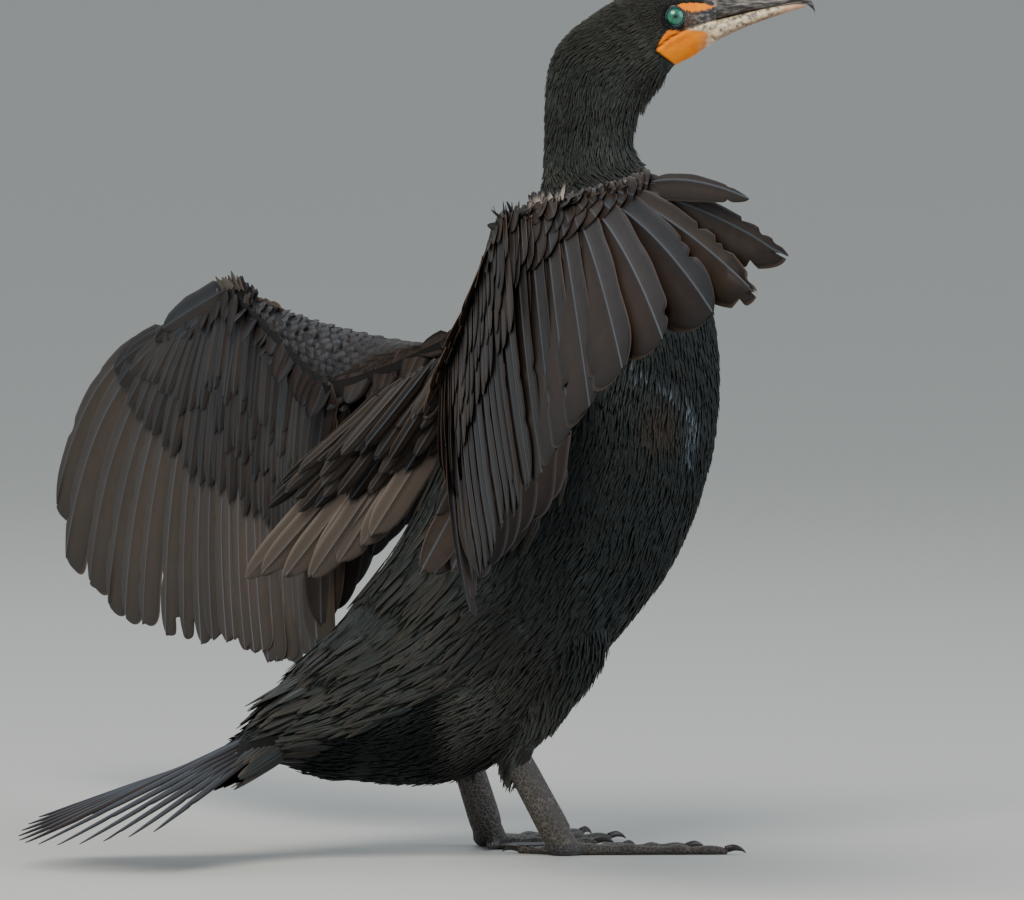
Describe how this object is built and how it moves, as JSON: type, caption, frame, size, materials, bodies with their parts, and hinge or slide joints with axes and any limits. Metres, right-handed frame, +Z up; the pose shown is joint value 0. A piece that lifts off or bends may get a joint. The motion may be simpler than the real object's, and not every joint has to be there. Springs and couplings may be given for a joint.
{
  "type": "double-crested cormorant",
  "caption": "Dark water bird with a long hooked bill, standing upright on webbed feet with both wings held open to dry.",
  "frame": {"origin": "middle of the whole bird's bounding box in X and Y, on the floor that the feet stand on", "axes": "+X the way the body faces, +Y towards the bird's left wing, +Z up"},
  "size_m": [0.4478, 1.0174, 0.4524],
  "materials": {
    "black_plumage": "small black feathers with a green gloss",
    "flight_feathers": "stiff bronze-brown feathers with dark edges and pale shafts",
    "leg_skin": "black scaled skin, webbed",
    "bill_horn": "grey horn, dark on top",
    "claw_horn": "black horn",
    "eye": "wet turquoise iris round a black pupil"
  },
  "bodies": {
    "root": {"head": "black_plumage", "bill_upper": "bill_horn", "bill_lower": "bill_horn", "eye_left": "eye", "eye_right": "eye", "neck": "black_plumage", "torso": "black_plumage", "tail": "flight_feathers", "thigh_left": "black_plumage", "thigh_right": "black_plumage", "tarsus_left": "leg_skin", "tarsus_right": "leg_skin", "foot_left": "leg_skin", "foot_right": "leg_skin", "claw_hallux_left": "claw_horn", "claw_inner_left": "claw_horn", "claw_middle_left": "claw_horn", "claw_outer_left": "claw_horn", "claw_hallux_right": "claw_horn", "claw_inner_right": "claw_horn", "claw_middle_right": "claw_horn", "claw_outer_right": "claw_horn", "wing_arm_left": "flight_feathers", "wing_forearm_left": "flight_feathers", "wing_hand_left": "flight_feathers", "wing_arm_right": "flight_feathers", "wing_forearm_right": "flight_feathers", "wing_hand_right": "flight_feathers"}
  },
  "joints": []
}
